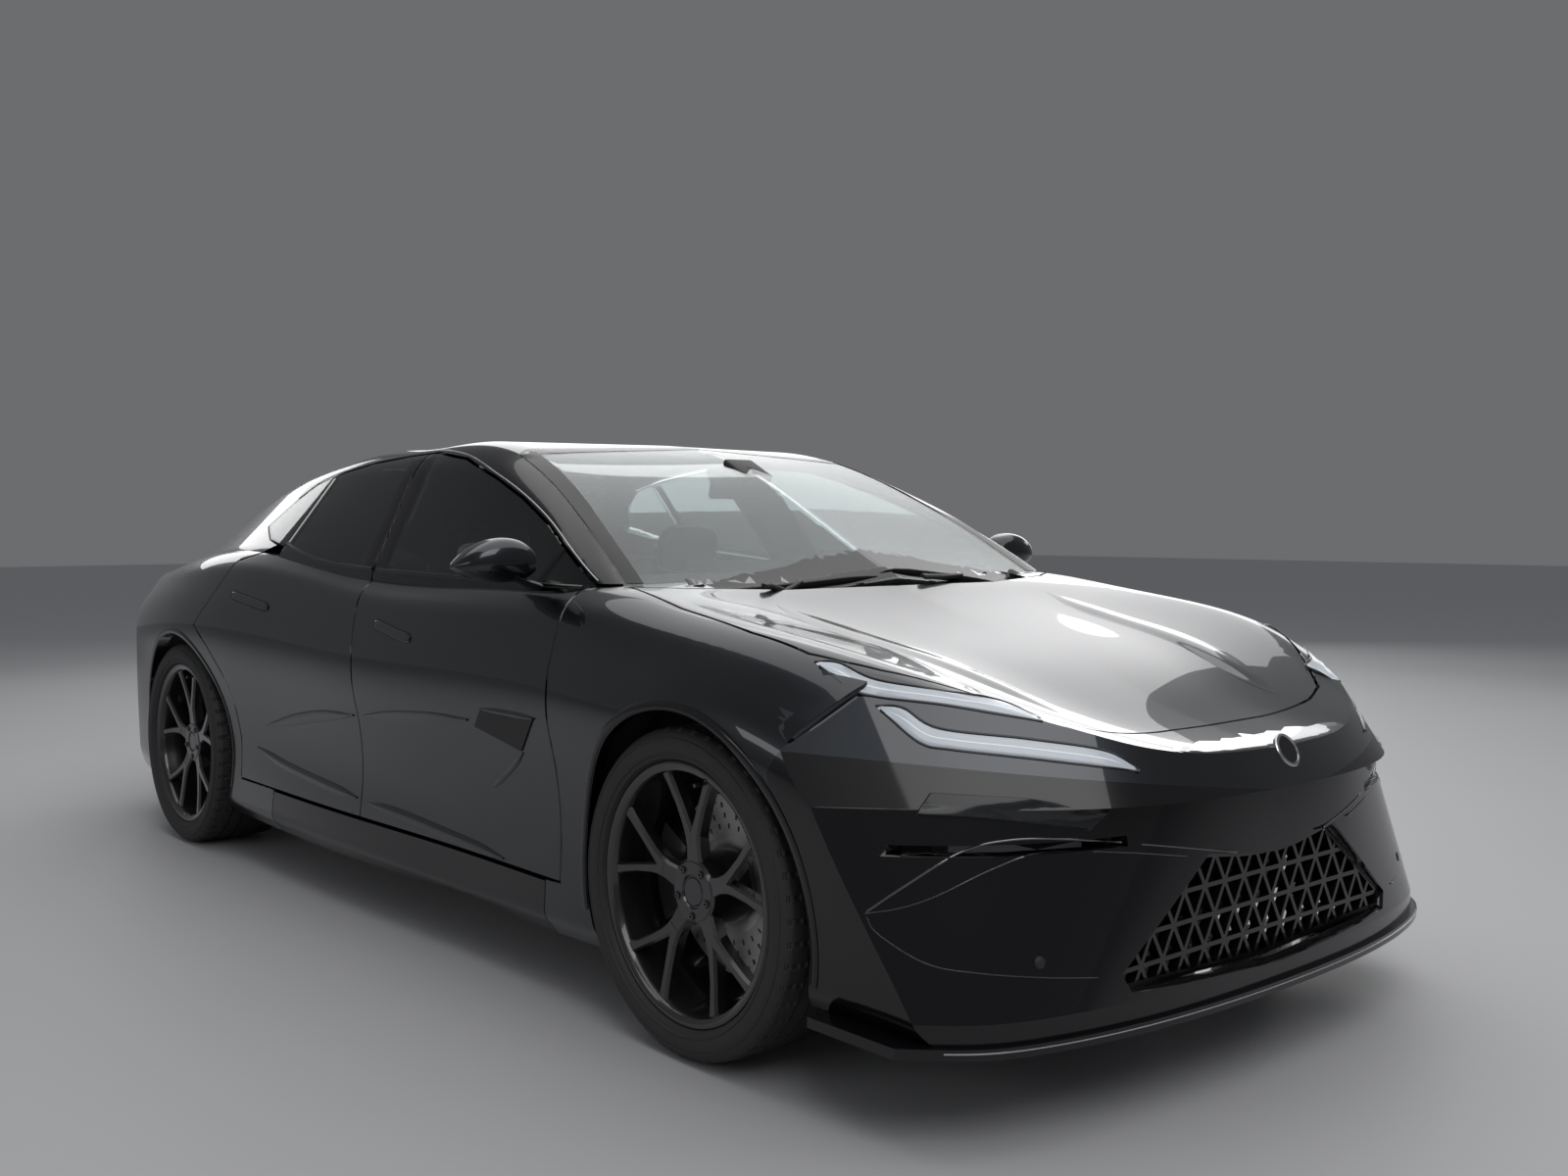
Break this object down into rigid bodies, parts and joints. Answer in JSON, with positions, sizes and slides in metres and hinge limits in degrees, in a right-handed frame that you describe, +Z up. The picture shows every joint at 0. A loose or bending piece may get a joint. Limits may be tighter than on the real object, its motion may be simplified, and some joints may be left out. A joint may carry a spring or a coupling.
{
  "type": "electric sports sedan",
  "caption": "Low four-door fastback car body with cabin, opening doors, bonnet and tailgate, battery floor and steered, freely turning wheels.",
  "frame": {"origin": "on the ground at mid length and mid width", "axes": "+X forward, +Y to the car's left, +Z up"},
  "size_m": [5.139, 2.216, 1.4581],
  "materials": {
    "paint": "gloss",
    "trim_black": "gloss",
    "lamp": "gloss",
    "tail_lamp": "gloss",
    "glass": "gloss",
    "steel": "satin",
    "casting": "satin",
    "wheel": "gloss",
    "tyre": "matte",
    "interior": "matte",
    "seat": "satin",
    "battery": "satin"
  },
  "bodies": {
    "body": {"sills": "trim_black", "front_wings": "paint", "front_bumper": "paint", "front_lamps": "lamp", "front_grille": "trim_black", "front_splitter": "trim_black", "windscreen": "glass", "roof_panel": "glass", "side_frames": "trim_black", "rear_bumper": "paint", "rear_quarters": "paint", "quarter_panes": "glass", "rear_diffuser": "trim_black", "floor_pan": "steel", "battery_pack": "battery", "drive_units": "casting", "front_axle": "steel", "rear_axle": "steel", "rear_knuckles": "casting", "dashboard": "interior", "front_seats": "seat", "rear_seat": "seat"},
    "bonnet": {"bonnet": "paint"},
    "tailgate": {"tailgate": "paint", "tailgate_glass": "glass", "tail_lamp": "tail_lamp"},
    "steering_wheel": {"steering_wheel": "interior"},
    "door_front_left": {"door_front_left": "paint", "door_glass_front_left": "glass", "mirror_left": "paint"},
    "door_rear_left": {"door_rear_left": "paint", "door_glass_rear_left": "glass"},
    "front_knuckle_left": {"front_knuckle_left": "casting"},
    "wheel_front_left": {"wheel_front_left": "wheel", "tyre_front_left": "tyre"},
    "wheel_rear_left": {"wheel_rear_left": "wheel", "tyre_rear_left": "tyre"},
    "door_front_right": {"door_front_right": "paint", "door_glass_front_right": "glass", "mirror_right": "paint"},
    "door_rear_right": {"door_rear_right": "paint", "door_glass_rear_right": "glass"},
    "front_knuckle_right": {"front_knuckle_right": "casting"},
    "wheel_front_right": {"wheel_front_right": "wheel", "tyre_front_right": "tyre"},
    "wheel_rear_right": {"wheel_rear_right": "wheel", "tyre_rear_right": "tyre"}
  },
  "joints": [
    {"name": "bonnet_hinge", "type": "hinge", "parent": "body", "child": "bonnet", "pos_m": [1.215, 0, 1.06], "axis": [0, -1, 0], "range_deg": [0, 60]},
    {"name": "tailgate_hinge", "type": "hinge", "parent": "body", "child": "tailgate", "pos_m": [-0.905, 0, 1.45], "axis": [0, 1, 0], "range_deg": [0, 70]},
    {"name": "door_front_left_hinge", "type": "hinge", "parent": "body", "child": "door_front_left", "pos_m": [1.08, 0.975, 0.6], "axis": [0, 0, -1], "range_deg": [0, 65]},
    {"name": "door_rear_left_hinge", "type": "hinge", "parent": "body", "child": "door_rear_left", "pos_m": [-0.025, 0.975, 0.6], "axis": [0, 0, -1], "range_deg": [0, 65]},
    {"name": "steer_left", "type": "hinge", "parent": "body", "child": "front_knuckle_left", "pos_m": [1.6295, 0.745, 0.372], "axis": [0, 0, 1], "range_deg": [-33, 33]},
    {"name": "wheel_front_left_spin", "type": "hinge", "parent": "front_knuckle_left", "child": "wheel_front_left", "pos_m": [1.6295, 0.8425, 0.372], "axis": [0, 1, 0], "continuous": true},
    {"name": "wheel_rear_left_spin", "type": "hinge", "parent": "body", "child": "wheel_rear_left", "pos_m": [-1.4395, 0.829, 0.372], "axis": [0, 1, 0], "continuous": true},
    {"name": "door_front_right_hinge", "type": "hinge", "parent": "body", "child": "door_front_right", "pos_m": [1.08, -0.975, 0.6], "axis": [0, 0, 1], "range_deg": [0, 65]},
    {"name": "door_rear_right_hinge", "type": "hinge", "parent": "body", "child": "door_rear_right", "pos_m": [-0.025, -0.975, 0.6], "axis": [0, 0, 1], "range_deg": [0, 65]},
    {"name": "steer_right", "type": "hinge", "parent": "body", "child": "front_knuckle_right", "pos_m": [1.6295, -0.745, 0.372], "axis": [0, 0, 1], "range_deg": [-33, 33]},
    {"name": "wheel_front_right_spin", "type": "hinge", "parent": "front_knuckle_right", "child": "wheel_front_right", "pos_m": [1.6295, -0.8425, 0.372], "axis": [0, 1, 0], "continuous": true},
    {"name": "wheel_rear_right_spin", "type": "hinge", "parent": "body", "child": "wheel_rear_right", "pos_m": [-1.4395, -0.829, 0.372], "axis": [0, 1, 0], "continuous": true},
    {"name": "steering_wheel_turn", "type": "hinge", "parent": "body", "child": "steering_wheel", "pos_m": [0.56, 0.4, 0.905], "axis": [-0.9135, 0, 0.4067], "range_deg": [-430, 430]}
  ],
  "couplings": [
    {"joint": "steer_right", "follows": "steer_left", "ratio": 1},
    {"joint": "steering_wheel_turn", "follows": "steer_left", "ratio": 13}
  ]
}
